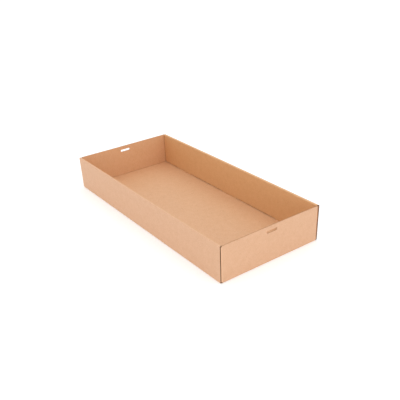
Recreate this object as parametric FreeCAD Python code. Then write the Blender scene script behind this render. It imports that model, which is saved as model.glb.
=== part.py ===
# A catering tray box, folded from one die-cut blank of single-wall corrugated board.
# Millimetres. X runs along the tray, Y across it and Z up. The origin is the middle of the underside.
# The long walls are doubled: each rolls over at the rim, and its inner panel locks in the floor with tabs.
# The end walls are single, and their corner flaps lie inside the doubled long walls.

import FreeCAD, Part
import math
import os

from FreeCAD import Vector

NODE = "tray"

# Overall sizes, outside, with the width taken at the floor
tray_length = 558.0
tray_width = 252.0
tray_height = 80.0

# How far the rim of each long wall stands out beyond its foot, because the folds spring back
wall_lean = 2.5

# The board and its folds
board = 1.6
fold_inner_radius = 0.4
layer_gap = 0.3

# Where cut edges stop short of their neighbours
long_wall_setback = 0.8
inner_panel_clearance = 0.8
end_wall_drop = 0.5

# Locking tabs on the inner panels, and their slots in the floor
tab_count = 3
tab_width = 53.0
tab_clearance = 0.4
tab_tip_recess = 0.2
seam_gap = 1.4

# Corner flaps
flap_length = 72.0
flap_clearance = 0.8
flap_corner_cut = 9.0

# The slot in each end wall that takes a lid's tongue
lid_slot_length = 26.0
lid_slot_height = 5.5
lid_slot_corner_radius = 1.5
lid_slot_depth = 12.5

# How far a cut runs past the board on either side, and the shortest edge that is drawn
cut_overrun = 5.0
smallest_edge = 0.001

# Worked out from the sizes above
fold_outer_radius = fold_inner_radius + board
lean_rate = wall_lean / tray_height
half_length = tray_length / 2
half_width = tray_width / 2
wall_stack = 3 * board + 2 * layer_gap
floor_half_length = half_length - fold_outer_radius
floor_half_width = half_width - fold_outer_radius
rim_outer_edge = half_width + wall_lean
rim_middle = rim_outer_edge - wall_stack / 2
rim_inner_edge = rim_outer_edge - wall_stack
long_wall_half_length = half_length - long_wall_setback
inner_panel_half_length = half_length - board - inner_panel_clearance
inner_panel_foot = half_width - wall_stack
inner_panel_bottom = board + seam_gap
tab_pitch = tray_length / tab_count
flap_face = half_width - board - layer_gap
flap_bottom = fold_outer_radius + flap_clearance
flap_top = tray_height - board - flap_clearance
flap_tip = half_length - flap_length
end_wall_half_width = flap_face - fold_outer_radius
end_wall_top = tray_height - end_wall_drop
lid_slot_middle = tray_height - lid_slot_depth

ALONG = Vector(1, 0, 0)
ACROSS = Vector(0, 1, 0)
UP = Vector(0, 0, 1)
ORIGIN = Vector(0, 0, 0)


def box(x_range, y_range, z_range):
    """A plain block between two limits on each axis."""
    (x0, x1), (y0, y1), (z0, z1) = x_range, y_range, z_range
    return Part.makeBox(x1 - x0, y1 - y0, z1 - z0, Vector(x0, y0, z0))


def with_mirror_image(shape, normal):
    """The shape and its mirror image across a plane through the origin."""
    return [shape, shape.mirror(ORIGIN, normal)]


def leaning(y, z):
    """Where a line that starts at y on the floor lies at height z, on a long wall that leans out."""
    return y + lean_rate * z


def straight_edge(start, end):
    """The straight edge between two points, or none where they meet."""
    if start.isEqual(end, smallest_edge):
        return []
    return [Part.LineSegment(start, end).toShape()]


def rounded_edges(corners, radius):
    """Edges along a line of corners, with each turn rounded to one radius."""
    edges = []
    start = corners[0]
    for before, corner, after in zip(corners, corners[1:], corners[2:]):
        into = (corner - before).normalize()
        out = (after - corner).normalize()
        inward = (out - into).normalize()
        half_turn = into.getAngle(out) / 2
        reach = radius * math.tan(half_turn)
        centre = corner + inward * (radius / math.cos(half_turn))
        arc_start = corner - into * reach
        arc_end = corner + out * reach
        edges += straight_edge(start, arc_start)
        edges.append(Part.Arc(arc_start, centre - inward * radius, arc_end).toShape())
        start = arc_end
    return edges + straight_edge(start, corners[-1])


def board_section(corners, normal):
    """The board cut across its folds: its outer face follows the corners, and the board lies to their left
    as seen against the normal."""
    runs = [(after - before).normalize() for before, after in zip(corners, corners[1:])]
    sides = [normal.cross(run) for run in runs]
    inner = [corners[0] + sides[0] * board]
    for corner, side, next_side in zip(corners[1:], sides, sides[1:]):
        inner.append(corner + (side + next_side) * (board / (1 + side.dot(next_side))))
    inner.append(corners[-1] + sides[-1] * board)
    edges = rounded_edges(corners, fold_outer_radius)
    edges += straight_edge(corners[-1], inner[-1])
    edges += rounded_edges(inner[::-1], fold_inner_radius)
    edges += straight_edge(inner[0], corners[0])
    return Part.Face(Part.Wire(edges))


def strip_along(points, x_middle, length):
    """A strip of board that runs along the tray, with its section given as (y, z) corners."""
    corners = [Vector(x_middle - length / 2, y, z) for y, z in points]
    return board_section(corners, ALONG).extrude(ALONG * length)


def tab_middles():
    """Where the locking tabs lie along the tray, spread evenly about the middle."""
    first = -tab_pitch * (tab_count - 1) / 2
    return [first + tab_pitch * i for i in range(tab_count)]


def tab_slot(middle):
    """The cut through the floor that takes one locking tab."""
    reach = tab_width / 2 + tab_clearance
    near = inner_panel_foot - tab_clearance
    far = leaning(inner_panel_foot + board, board) + tab_clearance
    return box((middle - reach, middle + reach), (near, far), (-cut_overrun, board + cut_overrun))


def floor_panel():
    """The floor, with a row of slots beside each long wall for the locking tabs."""
    x_range = (-floor_half_length, floor_half_length)
    y_range = (-floor_half_width, floor_half_width)
    panel = box(x_range, y_range, (0, board))
    for middle in tab_middles():
        for slot in with_mirror_image(tab_slot(middle), ACROSS):
            panel = panel.cut(slot)
    return panel


def long_wall():
    """The outer panel of a long wall, from its fold at the floor to the middle of the rim."""
    points = [
        (floor_half_width, 0),
        (half_width, 0),
        (rim_outer_edge, tray_height),
        (rim_middle, tray_height),
    ]
    return strip_along(points, 0, 2 * long_wall_half_length)


def inner_panel():
    """The other half of the rim and the inner panel, down to the seam over the floor."""
    points = [
        (rim_middle, tray_height),
        (rim_inner_edge, tray_height),
        (leaning(inner_panel_foot, inner_panel_bottom), inner_panel_bottom),
    ]
    return strip_along(points, 0, 2 * inner_panel_half_length)


def locking_tabs():
    """The tabs at the foot of an inner panel, which reach down through the floor's slots."""
    root = inner_panel_bottom + board
    points = [
        (leaning(inner_panel_foot, root), root),
        (leaning(inner_panel_foot, tab_tip_recess), tab_tip_recess),
    ]
    return [strip_along(points, middle, tab_width) for middle in tab_middles()]


def lid_slot():
    """The cut through an end wall for a lid's tongue: a rectangle with small round corners."""
    x_range = (half_length - board - cut_overrun, half_length + cut_overrun)
    y_range = (-lid_slot_length / 2, lid_slot_length / 2)
    z_range = (lid_slot_middle - lid_slot_height / 2, lid_slot_middle + lid_slot_height / 2)
    cut = box(x_range, y_range, z_range)
    through = [edge for edge in cut.Edges if edge.tangentAt(edge.FirstParameter).cross(ALONG).Length < 0.5]
    return cut.makeFillet(lid_slot_corner_radius, through)


def end_wall_outline():
    """A block with the front outline of an end wall, whose sides follow the lean of the long walls."""
    foot = end_wall_half_width
    head = leaning(end_wall_half_width, tray_height)
    x = floor_half_length - cut_overrun
    points = [(-foot, 0), (foot, 0), (head, tray_height), (-head, tray_height), (-foot, 0)]
    face = Part.Face(Part.makePolygon([Vector(x, y, z) for y, z in points]))
    return face.extrude(ALONG * (half_length + cut_overrun - x))


def end_wall():
    """An end wall, folded up from the floor and cut off plain at the top, with its lid slot."""
    y = rim_outer_edge
    corners = [
        Vector(floor_half_length, y, 0),
        Vector(half_length, y, 0),
        Vector(half_length, y, end_wall_top),
    ]
    wide = board_section(corners, -ACROSS).extrude(ACROSS * (-2 * y))
    return wide.common(end_wall_outline()).cut(lid_slot())


def flap_corner(level, inward):
    """The wedge that is cut off a free corner of a flap, at its lower or upper edge."""
    tip = Vector(flap_tip, rim_outer_edge, level)
    outline = [tip, tip + ALONG * flap_corner_cut, tip + UP * (inward * flap_corner_cut), tip]
    return Part.Face(Part.makePolygon(outline)).extrude(ACROSS * -(wall_stack + wall_lean))


def corner_flap():
    """A flap folded round from an end wall into the doubled long wall, its free corners cut off."""
    z = flap_bottom
    corners = [
        Vector(half_length, leaning(end_wall_half_width, z), z),
        Vector(half_length, leaning(flap_face, z), z),
        Vector(flap_tip, leaning(flap_face, z), z),
    ]
    up_the_lean = Vector(0, lean_rate, 1)
    flap = board_section(corners, UP).extrude(up_the_lean * (flap_top - flap_bottom))
    return flap.cut(flap_corner(flap_bottom, 1)).cut(flap_corner(flap_top, -1))


def tray():
    """The whole folded sheet as one solid."""
    pieces = []
    for panel in [long_wall(), inner_panel()] + locking_tabs():
        pieces += with_mirror_image(panel, ACROSS)
    pieces += with_mirror_image(end_wall(), ALONG)
    for flap in with_mirror_image(corner_flap(), ACROSS):
        pieces += with_mirror_image(flap, ALONG)
    return floor_panel().multiFuse(pieces).removeSplitter()


def main():
    os.makedirs("parts", exist_ok=True)
    shape = tray()
    bounds = shape.BoundBox
    print(NODE, "solids", len(shape.Solids), "valid", shape.isValid())
    print("size mm", round(bounds.XLength, 3), round(bounds.YLength, 3), round(bounds.ZLength, 3))
    print("board mm3", round(shape.Volume), "faces", len(shape.Faces))
    shape.Solids[0].exportStep("parts/" + NODE + ".step")


main()
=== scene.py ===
# %% [markdown]
# # A tray box folded from one sheet of corrugated board
# The real tray starts as a flat blank: a sheet of brown E-flute board that a steel-rule die cuts and
# creases in one stroke. Someone then folds it up by hand, without glue. This lesson takes the same road.
# It draws the die line, fills it with the two liners and the fluted paper between them, and lets one
# Geometry Nodes tree fold all three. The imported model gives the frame, and nothing else is read from disk.

import math

import bpy
import numpy as np
from mathutils import Matrix, Vector, geometry


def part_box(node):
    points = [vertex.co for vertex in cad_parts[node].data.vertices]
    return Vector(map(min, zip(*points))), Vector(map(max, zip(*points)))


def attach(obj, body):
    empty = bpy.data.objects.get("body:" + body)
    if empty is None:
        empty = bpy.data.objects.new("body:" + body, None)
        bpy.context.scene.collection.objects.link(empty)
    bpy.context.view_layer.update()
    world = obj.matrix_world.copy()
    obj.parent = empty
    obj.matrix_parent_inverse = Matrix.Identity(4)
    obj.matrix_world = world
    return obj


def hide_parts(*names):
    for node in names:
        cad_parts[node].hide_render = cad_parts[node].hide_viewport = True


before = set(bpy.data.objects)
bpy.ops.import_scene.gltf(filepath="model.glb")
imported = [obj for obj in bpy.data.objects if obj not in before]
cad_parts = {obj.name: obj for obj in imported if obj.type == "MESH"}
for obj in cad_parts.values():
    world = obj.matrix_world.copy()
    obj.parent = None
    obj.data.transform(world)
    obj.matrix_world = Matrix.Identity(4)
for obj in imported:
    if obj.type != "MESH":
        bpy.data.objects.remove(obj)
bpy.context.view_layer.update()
tray_low, tray_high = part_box("tray")
print("The tray's solid runs from", [round(v, 4) for v in tray_low], "to", [round(v, 4) for v in tray_high])

# %% [markdown]
# ## Sizes
# A box maker works from the outside sizes, the board and a few clearances, and every other line on the
# die follows from them. The length and height come from the solid. The rest are the sizes of the same
# tray, written once here in millimetres. The long walls lean out a little, as folds do when they spring
# back, so the turns at the floor and at the rim differ slightly from a right angle.

# %% Sizes of the board and of the tray
MM = 0.001

half_length = tray_high[0]
tray_height = tray_high[2]
half_width = 126.0 * MM
wall_lean = 2.5 * MM

board = 1.6 * MM
liner = 0.24 * MM
fluting_paper = 0.16 * MM
flute_pitch = 3.3 * MM

fold_radius = 2.0 * MM
layer_gap = 0.3 * MM
wall_stack = 3 * board + 2 * layer_gap

long_wall_end = half_length - 0.8 * MM
inner_panel_end = half_length - board - 0.8 * MM
inner_panel_bottom = board + 1.4 * MM
tab_tip = 0.2 * MM
tab_half = 26.5 * MM
tab_clearance = 0.4 * MM
tab_middles = [-2 * half_length / 3, 0.0, 2 * half_length / 3]

end_wall_top = tray_height - 0.5 * MM
end_wall_half_width = half_width - board - layer_gap - fold_radius
flap_bottom = fold_radius + 0.8 * MM
flap_top = tray_height - board - 0.8 * MM
flap_length = 72.0 * MM
flap_corner_cut = 9.0 * MM

slot_length = 26.0 * MM
slot_height = 5.5 * MM
slot_corner = 1.5 * MM
slot_middle = tray_height - 12.5 * MM

lean_angle = math.atan2(wall_lean, tray_height)
print("The long walls lean out by", round(math.degrees(lean_angle), 2), "degrees")


# %% [markdown]
# ## Where the creases lie on the flat sheet
# A fold is an arc, so on the flat sheet it takes up a narrow band. Walking out from the middle of the
# floor, each band starts where its arc starts, and the flat panel after it is as long as its wall, less
# the two set-backs that the arcs use up. Board bends about the middle of its thickness, so the band is
# as wide as the arc there.

# %% Lay out the creases
class Crease:
    """A fold: where its band starts on the flat sheet, how wide the band is and how far it turns."""

    def __init__(self, start, turn):
        self.start = start
        self.turn = turn
        self.band = (fold_radius - board / 2) * turn
        self.end = start + self.band
        self.setback = fold_radius * math.tan(turn / 2)


right_angle = math.radians(90)
slope = 1 / math.cos(lean_angle)

foot = Crease(0.0, right_angle - lean_angle)
foot = Crease(half_width - foot.setback, foot.turn)
rim_out = Crease(0.0, right_angle + lean_angle)
rim_out = Crease(foot.end + tray_height * slope - foot.setback - rim_out.setback, rim_out.turn)
rim_in = Crease(rim_out.end + wall_stack - rim_out.setback - foot.setback, foot.turn)
rim_middle = (rim_out.end + rim_in.start) / 2
inner_edge = rim_in.end + (tray_height - inner_panel_bottom) * slope - rim_in.setback
tab_edge = rim_in.end + (tray_height - tab_tip) * slope - rim_in.setback

end_foot = Crease(half_length - fold_radius, right_angle)
flap_fold = Crease(end_wall_half_width, right_angle)
flap_tip = flap_fold.end + flap_length - fold_radius


def up_end_wall(z):
    """Where height z on an end wall lies on the flat sheet, as a distance from the middle."""
    return end_foot.end + z - fold_radius


print("Across the blank, to the tip of a tab:", round(2 * tab_edge / MM, 1), "mm")
print("Along the blank, to the top of an end wall:", round(2 * up_end_wall(end_wall_top) / MM, 1), "mm")

# %% [markdown]
# ## The die line
# The die line is the outline that the knife cuts. The blank is the same in its four quarters, so one
# quarter is drawn, from the end wall round to the long wall, and turned over for the others. The holes
# are drawn apart: a slot for a lid's tongue in each end wall, and the slots in the floor that the
# locking tabs drop into.

# %% Draw the die line
slot_corner_steps = 5
top_x = up_end_wall(end_wall_top)
flap_low_x = up_end_wall(flap_bottom)
flap_high_x = up_end_wall(flap_top)

end_quarter = [
    (top_x, end_wall_half_width),
    (flap_high_x, end_wall_half_width),
    (flap_high_x, flap_tip - flap_corner_cut),
    (flap_high_x - flap_corner_cut, flap_tip),
    (flap_low_x + flap_corner_cut, flap_tip),
    (flap_low_x, flap_tip - flap_corner_cut),
    (flap_low_x, end_wall_half_width),
    (end_foot.start, end_wall_half_width),
    (end_foot.start, foot.start),
]
wall_quarter = [
    (long_wall_end, foot.start),
    (long_wall_end, rim_middle),
    (inner_panel_end, rim_middle),
    (inner_panel_end, inner_edge),
]
for middle in sorted((m for m in tab_middles if m >= 0), reverse=True):
    wall_quarter += [
        (middle + tab_half, inner_edge),
        (middle + tab_half, tab_edge),
        (middle - tab_half, tab_edge),
        (middle - tab_half, inner_edge),
    ]
quarter = [point for point in end_quarter + wall_quarter if point[0] > 0]


def turned(points, x_sign, y_sign):
    """A quarter of the outline in another corner of the blank, drawn the same way round."""
    placed = [(x * x_sign, y * y_sign) for x, y in points]
    return placed if x_sign == y_sign else placed[::-1]


def rounded_slot(x_middle):
    """The outline of a lid slot on the flat sheet, with its corners as short arcs."""
    points = []
    for corner, (x_side, y_side) in enumerate([(1, 1), (-1, 1), (-1, -1), (1, -1)]):
        centre_x = x_middle + x_side * (slot_height / 2 - slot_corner)
        centre_y = y_side * (slot_length / 2 - slot_corner)
        for step in range(slot_corner_steps + 1):
            angle = right_angle * (corner + step / slot_corner_steps)
            x = centre_x + slot_corner * math.cos(angle)
            y = centre_y + slot_corner * math.sin(angle)
            points.append((x, y))
    return points


def rectangle(x0, x1, y0, y1):
    """The outline of a plain slot."""
    return [(x0, y0), (x1, y0), (x1, y1), (x0, y1)]


outline = []
for x_sign, y_sign in ((1, 1), (-1, 1), (-1, -1), (1, -1)):
    outline += turned(quarter, x_sign, y_sign)
slot_near = half_width - wall_stack - tab_clearance
slot_far = half_width - wall_stack + board + tab_clearance
holes = [rounded_slot(side * up_end_wall(slot_middle)) for side in (-1, 1)]
for middle in tab_middles:
    reach = tab_half + tab_clearance
    holes.append(rectangle(middle - reach, middle + reach, slot_near, slot_far))
    holes.append(rectangle(middle - reach, middle + reach, -slot_far, -slot_near))
loops = [np.array(loop) for loop in [outline] + holes]
print("The die line has", len(outline), "corners and", len(holes), "holes")


def inside_die_line(points):
    """True for each point that lies on the board: inside the outline and in no hole."""
    inside = np.zeros(len(points), bool)
    for loop in loops:
        for (x0, y0), (x1, y1) in zip(loop, np.roll(loop, -1, axis=0)):
            if y0 == y1:
                continue
            spans = (points[:, 1] > y0) != (points[:, 1] > y1)
            crossing = x0 + (points[:, 1] - y0) * (x1 - x0) / (y1 - y0)
            inside ^= spans & (points[:, 0] < crossing)
    return inside


def distance_to_cut(points):
    """How far each point is from the nearest cut edge."""
    nearest = np.full(len(points), np.inf)
    for loop in loops:
        for start, end in zip(loop, np.roll(loop, -1, axis=0)):
            run = end - start
            share = np.clip((points - start) @ run / (run @ run), 0, 1)
            nearest = np.minimum(nearest, np.linalg.norm(points - start - share[:, None] * run, axis=1))
    return nearest


# %% [markdown]
# ## The two liners
# A liner is a sheet of kraft paper glued to the tops of the flutes. On the flat blank it could be a grid
# with holes knocked out by booleans, but a constrained Delaunay triangulation fits the die line exactly
# and needs no clean-up. It also takes guide lines: a few across each crease band, so that the arcs come
# out round, and wider ones elsewhere, so that the panels can bow. The triangles are then given the
# paper's thickness, with a closed strip along every cut edge.

# %% Triangulate the blank
arc_steps = 8
bow_step = 24.0 * MM
crease_margins = [1.2 * MM, 2.6 * MM, 4.5 * MM]
closest_lines = 0.15 * MM
same_point_mm = 1e-5


def band_lines(crease):
    """Guide lines through a crease band, and a few beside it."""
    lines = list(np.linspace(crease.start, crease.end, arc_steps + 1))
    lines += [crease.start - margin for margin in crease_margins]
    lines += [crease.end + margin for margin in crease_margins]
    return lines


def panel_lines(start, end):
    """Evenly spaced guide lines between two places, without the ends."""
    count = max(1, round((end - start) / bow_step))
    return list(np.linspace(start, end, count + 1))[1:-1]


x_lines = [0.0] + panel_lines(0, end_foot.start) + band_lines(end_foot)
x_lines += panel_lines(end_foot.end, top_x)
y_lines = [0.0] + panel_lines(0, foot.start) + band_lines(foot) + band_lines(flap_fold)
y_lines += panel_lines(foot.end, rim_out.start) + band_lines(rim_out) + band_lines(rim_in)
y_lines += panel_lines(rim_in.end, inner_edge)


def both_sides(values):
    """Sorted distances on both sides of the middle, with near doubles dropped."""
    values = np.unique(np.round(np.concatenate([values, np.negative(values)]), 7))
    keep = np.concatenate([[True], np.diff(values) > closest_lines])
    return values[keep]


def triangulated_blank():
    """Corners and triangles of the flat blank, cut to the die line."""
    points = []
    edges = []
    for loop in loops:
        first = len(points)
        points += [tuple(point) for point in loop]
        edges += [(first + i, first + (i + 1) % len(loop)) for i in range(len(loop))]
    reach_x = top_x + bow_step
    reach_y = tab_edge + bow_step
    for x in both_sides(x_lines):
        edges.append((len(points), len(points) + 1))
        points += [(x, -reach_y), (x, reach_y)]
    for y in both_sides(y_lines):
        edges.append((len(points), len(points) + 1))
        points += [(-reach_x, y), (reach_x, y)]
    in_mm = [Vector(point) / MM for point in points]
    corners, _, triangles, *_ = geometry.delaunay_2d_cdt(in_mm, edges, [], 0, same_point_mm, False)
    corners = np.array([tuple(corner) for corner in corners]) * MM
    triangles = np.array(triangles)
    return corners, triangles[inside_die_line(corners[triangles].mean(axis=1))]


blank_corners, blank_triangles = triangulated_blank()
print("The flat blank has", len(blank_triangles), "triangles")

# %% Give the paper its thickness
crease_reach = 1.6 * MM
open_end_reach = 8.0 * MM

# How plainly each fold's tone shows, against the fold at the foot of an end wall. The tone is partly the
# fibres' own and partly painted highlight and shade.
crease_strengths = [
    (foot, False, 1.0),
    (rim_out, False, 0.3),
    (rim_in, False, 0.3),
    (flap_fold, True, 2.4),
]


def paper_mesh(name, corners, faces, low, high):
    """A closed flat sheet: its faces at two heights, joined along every free edge."""
    used, renumbered = np.unique(faces, return_inverse=True)
    faces = renumbered.reshape(faces.shape)
    corners = corners[used]
    count = len(corners)
    ends = np.roll(faces, -1, axis=1)
    runs = set(zip(faces.ravel().tolist(), ends.ravel().tolist()))
    sides = [(a, b, b + count, a + count) for a, b in sorted(runs) if (b, a) not in runs]
    polygons = faces[:, ::-1].tolist() + (faces + count).tolist()
    vertices = np.vstack([np.column_stack([corners, np.full(count, z)]) for z in (low, high)])
    mesh = bpy.data.meshes.new(name)
    mesh.from_pydata(vertices.tolist(), [], polygons + sides)
    mark_blank(mesh, vertices)
    uncut = np.zeros(len(polygons))
    # The cut faces at the open ends of the long walls, which get painted shade
    open_cut_painted_shade = at_open_end(vertices[sides].mean(axis=1))
    write_values(mesh, "knife_cut", "FLOAT", "FACE", np.append(uncut, np.ones(len(sides))))
    write_values(mesh, "open_cut_painted_shade", "FLOAT", "FACE", np.append(uncut, open_cut_painted_shade))
    return mesh


def write_values(mesh, name, kind, domain, values):
    """Keeps one value or vector for each corner or face of a mesh."""
    layer = mesh.attributes.new(name, kind, domain)
    layer.data.foreach_set("vector" if kind == "FLOAT_VECTOR" else "value", np.ravel(values))


def on_end_wall(vertices):
    """True for each place that belongs to an end wall or its flaps."""
    x, y = np.abs(vertices[:, 0]), np.abs(vertices[:, 1])
    corner_relief = (end_wall_half_width + foot.start) / 2
    past_end = (long_wall_end + flap_low_x) / 2
    return (x > past_end) | ((x > end_foot.start) & (y < corner_relief))


def at_open_end(vertices):
    """True for each place at the end of a long wall, where the knife leaves the flutes open."""
    x, y = np.abs(vertices[:, 0]), np.abs(vertices[:, 1])
    return ~on_end_wall(vertices) & (y > foot.start) & (x > long_wall_end - open_end_reach)


def mark_blank(mesh, vertices):
    """Writes what the fold and the paper need to know: the place on the flat blank, the quarter that it
    is in, whether it belongs to a long wall or to an end wall with its flaps, how near a crease is,
    whether it is on the rolled-over half of a long wall, and whether it lies inside an open end."""
    x, y = np.abs(vertices[:, 0]), np.abs(vertices[:, 1])
    height = vertices[:, 2]
    on_end = on_end_wall(vertices)
    quarter_signs = np.where(vertices < 0, -1.0, 1.0)
    quarter_signs[:, 2] = 1.0
    from_end_foot = np.abs(x - (end_foot.start + end_foot.end) / 2)
    creased = (y < foot.start) * np.exp(-((from_end_foot / crease_reach) ** 2))
    for crease, in_end_wall, strength in crease_strengths:
        from_crease = np.abs(y - (crease.start + crease.end) / 2)
        near = (on_end == in_end_wall) * strength * np.exp(-((from_crease / crease_reach) ** 2))
        creased = np.maximum(creased, near)
    inside_board = (height > 0.5 * liner) & (height < board - 0.5 * liner)
    # The mask for the painted shade inside the open flutes
    open_end = at_open_end(vertices) & inside_board
    # The rolled-over halves of the long walls, which get the painted bounce tint
    rolled_over = ~on_end & (y > rim_in.start)
    write_values(mesh, "rolled_over", "FLOAT", "POINT", rolled_over.astype(float))
    write_values(mesh, "blank", "FLOAT_VECTOR", "POINT", vertices)
    write_values(mesh, "quarter", "FLOAT_VECTOR", "POINT", quarter_signs)
    write_values(mesh, "on_end", "FLOAT", "POINT", on_end.astype(float))
    write_values(mesh, "creased", "FLOAT", "POINT", creased)
    write_values(mesh, "open_end", "FLOAT", "POINT", open_end.astype(float))


outer_liner = paper_mesh("outer_liner", blank_corners, blank_triangles, 0.0, liner)
inner_liner = paper_mesh("inner_liner", blank_corners, blank_triangles, board - liner, board)
print("A liner has", len(outer_liner.polygons), "faces")

# %% [markdown]
# ## The fluted paper
# Between the liners runs a third paper in waves, and its flutes lie along the tray. It shows only where
# the board is cut, so it is made in a band along the cut edges, a little back from the knife, and
# nowhere else. At the ends of the long walls it is crushed back further, and the open edge shows there as
# a dark line, partly from the hollow and partly from painted shade. A grid does it: rows as fine as a sixth
# of a flute, and columns only where a cut or a fold needs them. It is still flat here, and the tree that
# folds the sheet also gives it its waves.

# %% Lay the fluted paper in a band along the cuts
flute_steps = 6
cut_recess = 0.12 * MM
clear_of_knife = 0.8 * cut_recess
wall_end_recess = 2.0 * MM
band_depth = 3.5 * MM
column_tolerance = 0.01 * MM


def band_along_cuts():
    """Corners and quads of a grid that covers the board near its cut edges."""
    cut_x = np.concatenate([np.abs(loop[:, 0]) for loop in loops])
    near = [cut_x - cut_recess, cut_x + cut_recess, cut_x - band_depth, cut_x + band_depth]
    open_from = long_wall_end - wall_end_recess
    columns = both_sides(np.concatenate(near + [np.array(x_lines + [open_from])]))
    row_step = flute_pitch / flute_steps
    row_count = int(tab_edge / row_step) + 2
    rows = np.arange(-row_count, row_count + 1) * row_step
    across, along = np.meshgrid(rows, columns)
    corners = np.column_stack([along.ravel(), across.ravel()])
    x, y = np.abs(corners).T
    open_end = (y > foot.start) & (x > open_from + column_tolerance) & (x < long_wall_end + cut_recess)
    clear = inside_die_line(corners) & (distance_to_cut(corners) > clear_of_knife) & ~open_end
    index = np.arange(len(corners)).reshape(along.shape)
    quads = np.stack([index[:-1, :-1], index[1:, :-1], index[1:, 1:], index[:-1, 1:]], axis=-1)
    quads = quads.reshape(-1, 4)
    quads = quads[clear[quads].all(axis=1)]
    return corners, quads[distance_to_cut(corners[quads].mean(axis=1)) < band_depth]


band_corners, band_quads = band_along_cuts()
fluting_low = (board - fluting_paper) / 2
fluting_high = (board + fluting_paper) / 2
fluting = paper_mesh("fluting", band_corners, band_quads, fluting_low, fluting_high)
print("The fluted band has", len(fluting.polygons), "faces")


# %% [markdown]
# ## The tree that folds the sheet
# Folding by hand in the modeller would mean turning panels one by one and stitching the arcs between
# them. A rule is better, because every crease does the same thing: what lies past it slides back by the
# width of the band and turns about the centre of the arc, and what lies in the band turns part of the
# way. One node group holds that rule. The tree calls it once for each crease, from the outermost inwards,
# with all four quarters of the blank laid on one, and opens them out again at the end.

# %% One function that adds a node
def add(tree, kind, settings=None, inputs=None):
    """Adds a node, sets its properties, and fills its inputs with values or links."""
    node = tree.nodes.new(kind)
    for name, value in (settings or {}).items():
        setattr(node, name, value)
    for key, value in (inputs or {}).items():
        if isinstance(value, bpy.types.NodeSocket):
            tree.links.new(value, node.inputs[key])
        else:
            node.inputs[key].default_value = value
    return node


# %% The rule for one crease
def crease_group():
    """A node group that folds what lies past one crease."""
    tree = bpy.data.node_groups.new("Fold at a crease", "GeometryNodeTree")
    face = tree.interface
    face.new_socket("Geometry", in_out="OUTPUT", socket_type="NodeSocketGeometry")
    face.new_socket("Geometry", in_out="INPUT", socket_type="NodeSocketGeometry")
    face.new_socket("Selection", in_out="INPUT", socket_type="NodeSocketFloat")
    for name in ("Across the crease", "Axis"):
        face.new_socket(name, in_out="INPUT", socket_type="NodeSocketVector")
    for name in ("Start", "Band", "Turn", "Radius"):
        face.new_socket(name, in_out="INPUT", socket_type="NodeSocketFloat")
    given = add(tree, "NodeGroupInput").outputs
    blank = add(tree, "GeometryNodeInputNamedAttribute", {"data_type": "FLOAT_VECTOR"}, {"Name": "blank"})
    place = add(tree, "ShaderNodeVectorMath", {"operation": "ABSOLUTE"}, {0: blank.outputs[0]})
    walked = add(tree, "ShaderNodeVectorMath", {"operation": "DOT_PRODUCT"},
                 {0: place.outputs[0], 1: given["Across the crease"]})
    end = add(tree, "ShaderNodeMath", {"operation": "ADD"}, {0: given["Start"], 1: given["Band"]})
    share = add(tree, "ShaderNodeMapRange", {"clamp": True},
                {"Value": walked.outputs["Value"], "From Min": given["Start"], "From Max": end.outputs[0]})
    angle = add(tree, "ShaderNodeMath", {"operation": "MULTIPLY"}, {0: share.outputs[0], 1: given["Turn"]})
    used = add(tree, "ShaderNodeMath", {"operation": "MULTIPLY"}, {0: share.outputs[0], 1: given["Band"]})
    back = add(tree, "ShaderNodeVectorMath", {"operation": "SCALE"},
               {0: given["Across the crease"], "Scale": used.outputs[0]})
    here = add(tree, "GeometryNodeInputPosition")
    slid = add(tree, "ShaderNodeVectorMath", {"operation": "SUBTRACT"},
               {0: here.outputs[0], 1: back.outputs[0]})
    edge = add(tree, "ShaderNodeVectorMath", {"operation": "SCALE"},
               {0: given["Across the crease"], "Scale": given["Start"]})
    above = add(tree, "ShaderNodeCombineXYZ", None, {"Z": given["Radius"]})
    centre = add(tree, "ShaderNodeVectorMath", {"operation": "ADD"},
                 {0: edge.outputs[0], 1: above.outputs[0]})
    turned_point = add(tree, "ShaderNodeVectorRotate", {"rotation_type": "AXIS_ANGLE"}, {
        "Vector": slid.outputs[0],
        "Center": centre.outputs[0],
        "Axis": given["Axis"],
        "Angle": angle.outputs[0],
    })
    chosen = add(tree, "FunctionNodeCompare", {"operation": "GREATER_THAN"},
                 {0: given["Selection"], 1: 0.5})
    moved = add(tree, "GeometryNodeSetPosition", None, {
        "Geometry": given["Geometry"],
        "Selection": chosen.outputs[0],
        "Position": turned_point.outputs[0],
    })
    add(tree, "NodeGroupOutput", None, {"Geometry": moved.outputs[0]})
    return tree


fold_at_crease = crease_group()
print("The fold group has", len(fold_at_crease.nodes), "nodes")

# %% [markdown]
# The tree's inputs are the sizes that a box maker would change. Folded card is never quite true, so the
# last steps bow it a little, as the tray in the photograph is bowed. Its rim is racked: at two opposite
# corners the long walls lean out fully, and at the other two they stand almost upright. Where they lean
# out, the fold of the end wall's flap stays behind and leaves a gap, which opens just above the floor. The
# end walls dip inwards at the middle of their top edge, and the floor rises slightly.

# %% The tree for the whole sheet
ACROSS_Y = (0.0, 1.0, 0.0)
ACROSS_X = (1.0, 0.0, 0.0)
ABOUT_X = (1.0, 0.0, 0.0)
ABOUT_Y = (0.0, -1.0, 0.0)

gap_opens_over = 0.1

tree_inputs = {
    "Fold radius": fold_radius,
    "Flute height": 0.0,
    "Flute pitch": flute_pitch,
    "Half length": half_length,
    "Half width inside": half_width - wall_stack,
    "Height": tray_height,
    "Lean": wall_lean,
    "Racking": 2.7 * MM,
    "Corner gap": 2.6 * MM,
    "Corner gap at the foot": 0.55,
    "Corner gap reach": 25.0 * MM,
    "End wall dip": 0.7 * MM,
    "Floor rise": 0.4 * MM,
}


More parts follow.
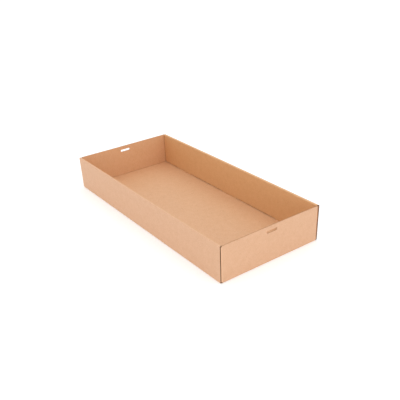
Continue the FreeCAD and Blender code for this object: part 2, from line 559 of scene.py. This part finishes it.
def folding_tree():
    """The tree that gives the fluted paper its waves and folds the sheet."""
    tree = bpy.data.node_groups.new("Fold the tray", "GeometryNodeTree")
    tree.interface.new_socket("Geometry", in_out="OUTPUT", socket_type="NodeSocketGeometry")
    tree.interface.new_socket("Geometry", in_out="INPUT", socket_type="NodeSocketGeometry")
    for name, value in tree_inputs.items():
        socket = tree.interface.new_socket(name, in_out="INPUT", socket_type="NodeSocketFloat")
        socket.default_value = value
    for name in ("Material", "Cut material"):
        tree.interface.new_socket(name, in_out="INPUT", socket_type="NodeSocketMaterial")
    given = add(tree, "NodeGroupInput").outputs
    blank = add(tree, "GeometryNodeInputNamedAttribute", {"data_type": "FLOAT_VECTOR"}, {"Name": "blank"})
    on_end = add(tree, "GeometryNodeInputNamedAttribute", {"data_type": "FLOAT"}, {"Name": "on_end"})
    on_wall = add(tree, "ShaderNodeMath", {"operation": "SUBTRACT"}, {0: 1.0, 1: on_end.outputs[0]})
    quarter_signs = add(tree, "GeometryNodeInputNamedAttribute", {"data_type": "FLOAT_VECTOR"},
                        {"Name": "quarter"})

    flat = add(tree, "ShaderNodeSeparateXYZ", None, {0: blank.outputs[0]})
    flutes = add(tree, "ShaderNodeMath", {"operation": "DIVIDE"},
                 {0: flat.outputs["Y"], 1: given["Flute pitch"]})
    phase = add(tree, "ShaderNodeMath", {"operation": "MULTIPLY"}, {0: flutes.outputs[0], 1: math.tau})
    wave = add(tree, "ShaderNodeMath", {"operation": "SINE"}, {0: phase.outputs[0]})
    rise = add(tree, "ShaderNodeMath", {"operation": "MULTIPLY"},
               {0: wave.outputs[0], 1: given["Flute height"]})
    lift = add(tree, "ShaderNodeCombineXYZ", None, {"Z": rise.outputs[0]})
    folded_over = add(tree, "GeometryNodeInputPosition")
    one_quarter = add(tree, "ShaderNodeVectorMath", {"operation": "ABSOLUTE"}, {0: folded_over.outputs[0]})
    waved = add(tree, "GeometryNodeSetPosition", None, {
        "Geometry": given["Geometry"],
        "Position": one_quarter.outputs[0],
        "Offset": lift.outputs[0],
    })

    sheet = waved.outputs[0]
    for crease, selection, across, axis in (
        (rim_in, on_wall, ACROSS_Y, ABOUT_X),
        (rim_out, on_wall, ACROSS_Y, ABOUT_X),
        (foot, on_wall, ACROSS_Y, ABOUT_X),
        (flap_fold, on_end, ACROSS_Y, ABOUT_X),
        (end_foot, on_end, ACROSS_X, ABOUT_Y),
    ):
        fold = add(tree, "GeometryNodeGroup", {"node_tree": fold_at_crease}, {
            "Geometry": sheet,
            "Selection": selection.outputs[0],
            "Across the crease": across,
            "Axis": axis,
            "Start": crease.start,
            "Band": crease.band,
            "Turn": crease.turn,
            "Radius": given["Fold radius"],
        })
        sheet = fold.outputs[0]

    here = add(tree, "GeometryNodeInputPosition")
    place = add(tree, "ShaderNodeSeparateXYZ", None, {0: here.outputs[0]})
    up = add(tree, "ShaderNodeMath", {"operation": "DIVIDE"}, {0: place.outputs["Z"], 1: given["Height"]})
    along = add(tree, "ShaderNodeMath", {"operation": "DIVIDE", "use_clamp": True},
                {0: place.outputs["X"], 1: given["Half length"]})
    aside = add(tree, "ShaderNodeMath", {"operation": "DIVIDE", "use_clamp": True},
                {0: place.outputs["Y"], 1: given["Half width inside"]})
    along_squared = add(tree, "ShaderNodeMath", {"operation": "MULTIPLY"},
                        {0: along.outputs[0], 1: along.outputs[0]})
    aside_squared = add(tree, "ShaderNodeMath", {"operation": "MULTIPLY"},
                        {0: aside.outputs[0], 1: aside.outputs[0]})
    from_end = add(tree, "ShaderNodeMath", {"operation": "SUBTRACT"},
                   {0: 1.0, 1: along_squared.outputs[0]})
    from_side = add(tree, "ShaderNodeMath", {"operation": "SUBTRACT"},
                    {0: 1.0, 1: aside_squared.outputs[0]})

    signs = add(tree, "ShaderNodeSeparateXYZ", None, {0: quarter_signs.outputs[0]})
    diagonal = add(tree, "ShaderNodeMath", {"operation": "MULTIPLY"},
                   {0: signs.outputs["X"], 1: signs.outputs["Y"]})
    towards_corner = add(tree, "ShaderNodeMath", {"operation": "MULTIPLY"},
                         {0: diagonal.outputs[0], 1: along.outputs[0]})
    racked = add(tree, "ShaderNodeMapRange", {"clamp": True},
                 {"Value": towards_corner.outputs[0], "From Min": 1.0, "From Max": -1.0})
    racked_more = add(tree, "ShaderNodeMath", {"operation": "MULTIPLY"},
                      {0: racked.outputs[0], 1: racked.outputs[0]})
    pulled_in = add(tree, "ShaderNodeMath", {"operation": "MULTIPLY"},
                    {0: racked_more.outputs[0], 1: given["Racking"]})
    leaning = add(tree, "ShaderNodeMath", {"operation": "MULTIPLY"},
                  {0: on_end.outputs[0], 1: given["Lean"]})
    lean_here = add(tree, "ShaderNodeMath", {"operation": "SUBTRACT"},
                    {0: leaning.outputs[0], 1: pulled_in.outputs[0]})
    reach_start = add(tree, "ShaderNodeMath", {"operation": "SUBTRACT"},
                      {0: given["Half length"], 1: given["Corner gap reach"]})
    near_corner = add(tree, "ShaderNodeMapRange", {"clamp": True}, {
        "Value": place.outputs["X"],
        "From Min": reach_start.outputs[0],
        "From Max": given["Half length"],
        "To Max": given["Corner gap"],
    })
    not_racked = add(tree, "ShaderNodeMath", {"operation": "SUBTRACT"},
                     {0: 1.0, 1: racked_more.outputs[0]})
    gap = add(tree, "ShaderNodeMath", {"operation": "MULTIPLY"},
              {0: near_corner.outputs[0], 1: not_racked.outputs[0]})
    end_gap = add(tree, "ShaderNodeMath", {"operation": "MULTIPLY"},
                  {0: gap.outputs[0], 1: on_end.outputs[0]})
    opening = add(tree, "ShaderNodeMapRange", {"clamp": True},
                  {"Value": up.outputs[0], "To Min": given["Corner gap at the foot"], "To Max": 1.0})
    off_floor = add(tree, "ShaderNodeMapRange", {"clamp": True},
                    {"Value": up.outputs[0], "From Max": gap_opens_over})
    opening_here = add(tree, "ShaderNodeMath", {"operation": "MULTIPLY"},
                       {0: opening.outputs[0], 1: off_floor.outputs[0]})
    gap_here = add(tree, "ShaderNodeMath", {"operation": "MULTIPLY"},
                   {0: end_gap.outputs[0], 1: opening_here.outputs[0]})
    lean_up = add(tree, "ShaderNodeMath", {"operation": "MULTIPLY"},
                  {0: lean_here.outputs[0], 1: up.outputs[0]})
    out_here = add(tree, "ShaderNodeMath", {"operation": "SUBTRACT"},
                   {0: lean_up.outputs[0], 1: gap_here.outputs[0]})
    y_shift = add(tree, "ShaderNodeMath", {"operation": "MULTIPLY"},
                  {0: out_here.outputs[0], 1: aside.outputs[0]})

    dip = add(tree, "ShaderNodeMath", {"operation": "MULTIPLY"},
              {0: from_side.outputs[0], 1: given["End wall dip"]})
    dip_here = add(tree, "ShaderNodeMath", {"operation": "MULTIPLY"}, {0: dip.outputs[0], 1: up.outputs[0]})
    x_shift = add(tree, "ShaderNodeMath", {"operation": "MULTIPLY"}, {0: dip_here.outputs[0], 1: -1.0})

    down = add(tree, "ShaderNodeMath", {"operation": "SUBTRACT", "use_clamp": True},
               {0: 1.0, 1: up.outputs[0]})
    middle = add(tree, "ShaderNodeMath", {"operation": "MULTIPLY"},
                 {0: from_end.outputs[0], 1: from_side.outputs[0]})
    rise_here = add(tree, "ShaderNodeMath", {"operation": "MULTIPLY"},
                    {0: middle.outputs[0], 1: given["Floor rise"]})
    z_shift = add(tree, "ShaderNodeMath", {"operation": "MULTIPLY"},
                  {0: rise_here.outputs[0], 1: down.outputs[0]})
    shift = add(tree, "ShaderNodeCombineXYZ", None,
                {"X": x_shift.outputs[0], "Y": y_shift.outputs[0], "Z": z_shift.outputs[0]})
    bowed = add(tree, "GeometryNodeSetPosition", None, {"Geometry": sheet, "Offset": shift.outputs[0]})

    last = add(tree, "GeometryNodeInputPosition")
    opened = add(tree, "ShaderNodeVectorMath", {"operation": "MULTIPLY"},
                 {0: last.outputs[0], 1: quarter_signs.outputs[0]})
    four = add(tree, "GeometryNodeSetPosition", None,
               {"Geometry": bowed.outputs[0], "Position": opened.outputs[0]})
    real = add(tree, "GeometryNodeRealizeInstances", None, {"Geometry": four.outputs[0]})
    papered = add(tree, "GeometryNodeSetMaterial", None,
                  {"Geometry": real.outputs[0], "Material": given["Material"]})
    knife = add(tree, "GeometryNodeInputNamedAttribute", {"data_type": "FLOAT"}, {"Name": "knife_cut"})
    is_cut = add(tree, "FunctionNodeCompare", {"operation": "GREATER_THAN"}, {0: knife.outputs[0], 1: 0.5})
    finished = add(tree, "GeometryNodeSetMaterial", None, {
        "Geometry": papered.outputs[0],
        "Selection": is_cut.outputs[0],
        "Material": given["Cut material"],
    })
    add(tree, "NodeGroupOutput", None, {"Geometry": finished.outputs[0]})
    return tree


fold_the_tray = folding_tree()
print("The folding tree has", len(fold_the_tray.nodes), "nodes and", len(tree_inputs), "sizes")


# %% [markdown]
# ## Colours and paper
# Both liners are unbleached kraft: long softwood fibres, pressed and dried without coating or print. The
# eye gets a tan with a faint sheen at a shallow angle, cloudy patches where the fibres lie thicker, and
# short darker and lighter flecks that lie every way. The pattern reads the place on the flat blank, so it
# runs on over the folds.

# %% From written colours to linear ones
def linear(hex_colour):
    """An sRGB hex colour as linear red, green, blue and alpha."""
    values = [int(hex_colour[i:i + 2], 16) / 255 for i in (1, 3, 5)]
    return [v / 12.92 if v <= 0.04045 else ((v + 0.055) / 1.055) ** 2.4 for v in values] + [1.0]


def paper_surface(name, roughness, shine):
    """A new material with its shader, and the place on the blank in metres."""
    material = bpy.data.materials.new(name)
    material.use_nodes = True
    tree = material.node_tree
    shader = tree.nodes["Principled BSDF"]
    shader.inputs["Roughness"].default_value = roughness
    shader.inputs["IOR"].default_value = 1.5
    shader.inputs["Specular IOR Level"].default_value = shine
    place = add(tree, "ShaderNodeAttribute", {"attribute_type": "GEOMETRY", "attribute_name": "blank"})
    return material, tree, shader, place.outputs["Vector"]


# %% [markdown]
# At the ends of the long walls the knife leaves the flutes open. There the papers' inner sides and cut
# faces are painted dark brown as shade, because the flutes are too deep and narrow for the lamps to show
# that shade by themselves.

# %% How dark the painted shade in the open ends is
# Painted shade: the dark brown that stands in for the shade inside the open flutes
open_end_painted_shade = "#5E3312"


def mark(tree, name):
    """The value from 0 to 1 that the sheet carries under a name."""
    attribute = add(tree, "ShaderNodeAttribute", {"attribute_type": "GEOMETRY", "attribute_name": name})
    return attribute.outputs["Fac"]


# %% [markdown]
# One function makes both liners. A crease stretches the outer liner, which pales it, and crushes the inner
# one, which darkens it. The tones are also partly painted light: a painted highlight where a rounded outer
# fold catches the light, and painted shade in the inner folds. The rolled-over halves of the long walls look
# a little warmer than the rest of the sheet, from the light that the tray's floor throws back, so they carry
# a painted tint of that bounce light. Real fibres and grain are finer than these, which are drawn as coarse
# as they need to be to show.

# %% Kraft liners
cloud_size = 12.0 * MM
fleck_length = 4.0 * MM
fleck_width = 0.9 * MM
fleck_onset = 0.60
fleck_full = 0.78
fleck_strength = 0.45
grain_size = 1.1 * MM
grain_depth = 0.1 * MM
grain_strength = 0.35
flecks = [(20, "#C08A60"), (75, "#F0CDAE"), (140, "#B87F55")]
tone_positions = (0.3, 0.7)
liner_roughness = 0.55
liner_shine = 0.9
# Painted bounce light: a warm tint on the rolled-over halves, for the light that the tray's floor throws
# back
painted_bounce_tint = "#FFFDE3"


def kraft_liner(name, tones, crease_colour, crease_amount):
    """Unbleached kraft liner, machine-made and uncoated: a tan with a faint sheen, cloudy, with flecks."""
    material, tree, shader, place = paper_surface(name, liner_roughness, liner_shine)
    cloud = add(tree, "ShaderNodeTexNoise", None,
                {"Vector": place, "Scale": 1 / cloud_size, "Detail": 4.0, "Roughness": 0.7})
    tone = add(tree, "ShaderNodeValToRGB", None, {0: cloud.outputs[0]})
    for element, position, colour in zip(tone.color_ramp.elements, tone_positions, tones):
        element.position = position
        element.color = linear(colour)
    colour = tone.outputs[0]
    for angle, fleck in flecks:
        turned_place = add(tree, "ShaderNodeMapping", None, {
            "Vector": place,
            "Rotation": (0.0, 0.0, math.radians(angle)),
            "Scale": (1 / fleck_length, 1 / fleck_width, 1 / fleck_width),
        })
        fibres = add(tree, "ShaderNodeTexNoise", None,
                     {"Vector": turned_place.outputs[0], "Scale": 1.0, "Detail": 1.0, "Roughness": 0.5})
        amount = add(tree, "ShaderNodeMapRange", {"clamp": True}, {
            "Value": fibres.outputs[0],
            "From Min": fleck_onset,
            "From Max": fleck_full,
            "To Max": fleck_strength,
        })
        mixed = add(tree, "ShaderNodeMix", {"data_type": "RGBA"},
                    {"Factor": amount.outputs[0], 6: colour, 7: linear(fleck)})
        colour = mixed.outputs[2]
    # The crease tone: partly the fibres' own, and partly painted light, a highlight on the outer folds and
    # shade in the inner ones
    bent = add(tree, "ShaderNodeMath", {"operation": "MULTIPLY"},
               {0: mark(tree, "creased"), 1: crease_amount})
    mixed = add(tree, "ShaderNodeMix", {"data_type": "RGBA"},
                {"Factor": bent.outputs[0], 6: colour, 7: linear(crease_colour)})
    # Painted bounce light: the rolled-over halves are tinted warmer, as the tray's floor would light them
    bounce_tinted = add(tree, "ShaderNodeMix", {"data_type": "RGBA", "blend_type": "MULTIPLY"},
                 {"Factor": mark(tree, "rolled_over"), 6: mixed.outputs[2], 7: linear(painted_bounce_tint)})
    # Painted shade on the liners' inner sides at the open ends of the long walls
    shaded = add(tree, "ShaderNodeMix", {"data_type": "RGBA"},
                 {"Factor": mark(tree, "open_end"), 6: bounce_tinted.outputs[2], 7: linear(open_end_painted_shade)})
    tree.links.new(shaded.outputs[2], shader.inputs["Base Color"])
    grain = add(tree, "ShaderNodeTexNoise", None,
                {"Vector": place, "Scale": 1 / grain_size, "Detail": 3.0, "Roughness": 0.6})
    bump = add(tree, "ShaderNodeBump", None,
               {"Strength": grain_strength, "Distance": grain_depth, "Height": grain.outputs[0]})
    tree.links.new(bump.outputs[0], shader.inputs["Normal"])
    return material


# %% [markdown]
# The fluting is a thinner and duller recycled paper, and the steel rule leaves raw paper along every cut.
# Neither has been pressed smooth as the face of a liner has, so they scatter the light and hardly shine.

# %% Fluting and cut edges
fluting_roughness = 0.9
fluting_tones = ["#B98A5E", "#CDA075"]
cut_edge_roughness = 0.95
cut_edge_colour = "#D9AE86"
raw_paper_shine = 0.2


def fluting_material():
    """Recycled fluting, the thinner and duller paper between the liners."""
    material, tree, shader, place = paper_surface("recycled_fluting", fluting_roughness, raw_paper_shine)
    cloud = add(tree, "ShaderNodeTexNoise", None, {"Vector": place, "Scale": 1 / grain_size, "Detail": 2.0})
    tone = add(tree, "ShaderNodeValToRGB", None, {0: cloud.outputs[0]})
    for element, colour in zip(tone.color_ramp.elements, fluting_tones):
        element.color = linear(colour)
    # Painted shade on the fluting at the open ends of the long walls
    shaded = add(tree, "ShaderNodeMix", {"data_type": "RGBA"},
                 {"Factor": mark(tree, "open_end"), 6: tone.outputs[0], 7: linear(open_end_painted_shade)})
    tree.links.new(shaded.outputs[2], shader.inputs["Base Color"])
    return material


def cut_edge_material():
    """Die-cut edge: the knife crushes the fibres, which leaves them a little duller than the face."""
    material, tree, shader, _ = paper_surface("die_cut_edge", cut_edge_roughness, raw_paper_shine)
    # Painted shade on the cut faces at the open ends of the long walls
    shaded = add(tree, "ShaderNodeMix", {"data_type": "RGBA"},
                 {"Factor": mark(tree, "open_cut_painted_shade"), 6: linear(cut_edge_colour), 7: linear(open_end_painted_shade)})
    tree.links.new(shaded.outputs[2], shader.inputs["Base Color"])
    return material


# %% Make the four materials
outer_tones = ["#D8A67E", "#DFAF89"]
inner_tones = ["#DCAA7D", "#E2B287"]
# The paler crease tone of the outer liner is partly painted highlight; the darker one of the inner liner is
# partly painted shade
outer_kraft = kraft_liner("kraft_outer_liner", outer_tones, "#EFC097", 0.25)
inner_kraft = kraft_liner("kraft_inner_liner", inner_tones, "#B37F52", 0.6)
fluting_brown = fluting_material()
cut_edge = cut_edge_material()
print("Papers:", [paper.name for paper in (outer_kraft, inner_kraft, fluting_brown, cut_edge)])


# %% [markdown]
# ## Fold the sheet
# Each of the three papers goes through the tree, comes out as a plain mesh, and loses its modifier. They
# are then one piece, as the glued board is.

# %% Fold and join the three papers
def folded(mesh, material, flute_height):
    """The mesh, folded by the tree, as an object with no modifier left on it."""
    source = bpy.data.objects.new(mesh.name, mesh)
    bpy.context.scene.collection.objects.link(source)
    modifier = source.modifiers.new("Fold", "NODES")
    modifier.node_group = fold_the_tray
    sockets = {item.name: item.identifier for item in fold_the_tray.interface.items_tree
               if item.in_out == "INPUT" and item.name != "Geometry"}
    for name, value in tree_inputs.items():
        modifier[sockets[name]] = value
    modifier[sockets["Flute height"]] = flute_height
    modifier[sockets["Material"]] = material
    modifier[sockets["Cut material"]] = cut_edge
    depsgraph = bpy.context.evaluated_depsgraph_get()
    result = bpy.data.meshes.new_from_object(source.evaluated_get(depsgraph), depsgraph=depsgraph)
    bpy.data.objects.remove(source)
    return result


flute_height = (board - 2 * liner - fluting_paper) / 2
papers = [
    folded(outer_liner, outer_kraft, 0.0),
    folded(inner_liner, inner_kraft, 0.0),
    folded(fluting, fluting_brown, flute_height),
]
objects = []
for paper in papers:
    piece = bpy.data.objects.new(paper.name, paper)
    bpy.context.scene.collection.objects.link(piece)
    objects.append(piece)
with bpy.context.temp_override(active_object=objects[0], selected_editable_objects=objects):
    bpy.ops.object.join()
tray = objects[0]
tray.name = "folded_board"
tray.data.shade_smooth()
tray.data.set_sharp_from_angle(angle=math.radians(35))
print("The folded tray has", len(tray.data.polygons), "faces and", len(tray.data.materials), "materials")

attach(tray, "root")
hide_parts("tray")


# %% [markdown]
# ## A plain studio
# The tray was photographed from above one corner on seamless white. The floor here is a large white
# plane. To the camera it and the world are white, and the object gets no more light from that.

# %% Floor and world
surround_level = 0.95
floor_reach = 4.0
floor_drop = 0.3 * MM
floor_glow = 0.25


def seen_as_background(tree):
    """1 for a ray that shows the background, straight or in a reflection, and 0 for one that lights."""
    rays = add(tree, "ShaderNodeLightPath")
    seen = add(tree, "ShaderNodeMath", {"operation": "MAXIMUM"},
               {0: rays.outputs["Is Camera Ray"], 1: rays.outputs["Is Glossy Ray"]})
    seen = add(tree, "ShaderNodeMath", {"operation": "MAXIMUM"},
               {0: seen.outputs[0], 1: rays.outputs["Is Transmission Ray"]})
    return seen.outputs[0]


def white_floor():
    """A white studio floor that keeps the tray's shadow."""
    corners = rectangle(-floor_reach, floor_reach, -floor_reach, floor_reach)
    mesh = bpy.data.meshes.new("floor")
    mesh.from_pydata([(x, y, 0) for x, y in corners], [], [(0, 1, 2, 3)])
    floor = bpy.data.objects.new("floor", mesh)
    floor.location.z = -floor_drop
    bpy.context.scene.collection.objects.link(floor)
    material = bpy.data.materials.new("white_studio_floor")
    material.use_nodes = True
    tree = material.node_tree
    shader = tree.nodes["Principled BSDF"]
    shader.inputs["Base Color"].default_value = linear("#F4F4F4")
    shader.inputs["Roughness"].default_value = 0.9
    shader.inputs["Specular IOR Level"].default_value = 0.0
    glow = add(tree, "ShaderNodeMath", {"operation": "MULTIPLY"},
               {0: seen_as_background(tree), 1: floor_glow})
    shader.inputs["Emission Color"].default_value = (1.0, 1.0, 1.0, 1.0)
    tree.links.new(glow.outputs[0], shader.inputs["Emission Strength"])
    mesh.materials.append(material)


def white_world():
    """A soft white surround: full white to the camera, and a lower level as light."""
    world = bpy.data.worlds.new("studio")
    bpy.context.scene.world = world
    world.use_nodes = True
    tree = world.node_tree
    background = tree.nodes["Background"]
    background.inputs["Color"].default_value = (1.0, 1.0, 1.0, 1.0)
    strength = add(tree, "ShaderNodeMapRange", None,
                   {"Value": seen_as_background(tree), "To Min": surround_level, "To Max": 1.0})
    tree.links.new(strength.outputs[0], background.inputs["Strength"])


white_floor()
white_world()
print("The surround lights the tray at", surround_level, "of full white")


# %% Soft lamps
def soft_lamp(name, place, aim, size, watts):
    """A rectangular softbox that faces a point, with its width and height in metres."""
    light = bpy.data.lights.new(name, "AREA")
    light.shape = "RECTANGLE"
    light.size, light.size_y = size
    light.energy = watts
    lamp = bpy.data.objects.new(name, light)
    lamp.location = place
    lamp.rotation_euler = (Vector(place) - Vector(aim)).to_track_quat("Z", "Y").to_euler()
    bpy.context.scene.collection.objects.link(lamp)


overhead_watts = 5.4
right_watts = 5.0
left_watts = 2.4
soft_lamp("overhead_softbox", (0.0, 0.2, 1.9), (0, 0, 0), (2.2, 2.2), overhead_watts)
soft_lamp("right_softbox", (2.0, -0.3, 0.3), (0, 0, 0.1), (1.8, 0.5), right_watts)
soft_lamp("left_softbox", (-0.3, -2.0, 0.18), (0, 0, 0.1), (1.8, 0.3), left_watts)
print("The lamps take", round(overhead_watts + right_watts + left_watts, 1), "W together")


# %% [markdown]
# ## The camera
# The lens and the place come from matching the tray's seven visible corners in the photograph, whose
# frame is a square. The camera stands about 1.4 m away, looks down at 26 degrees, and is turned very
# slightly on its own axis.

# %% Place the camera
def match_camera():
    """The camera at the photograph's angle, distance and lens."""
    azimuth = math.radians(54.52)
    elevation = math.radians(26.34)
    roll = math.radians(-2.26)
    distance = 1.3502
    offset_right = 0.0274
    offset_up = -0.0114
    back = Vector((
        math.sin(azimuth) * math.cos(elevation),
        -math.cos(azimuth) * math.cos(elevation),
        math.sin(elevation),
    ))
    level = Vector((math.cos(azimuth), math.sin(azimuth), 0))
    upright = back.cross(level)
    right = math.cos(roll) * level + math.sin(roll) * upright
    up = math.cos(roll) * upright - math.sin(roll) * level
    camera = bpy.data.objects.new("camera", bpy.data.cameras.new("camera"))
    camera.data.sensor_width = 36.0
    camera.data.lens = 53.65
    camera.data.clip_start = 0.01
    place = Vector((0, 0, tray_height / 2)) + right * offset_right + up * offset_up + back * distance
    turn = Matrix((right, up, back)).transposed().to_4x4()
    camera.matrix_world = Matrix.Translation(place) @ turn
    bpy.context.scene.collection.objects.link(camera)
    bpy.context.scene.camera = camera


match_camera()
bpy.context.scene.view_settings.view_transform = "Standard"
print("The camera stands at", [round(v, 3) for v in bpy.context.scene.camera.location])
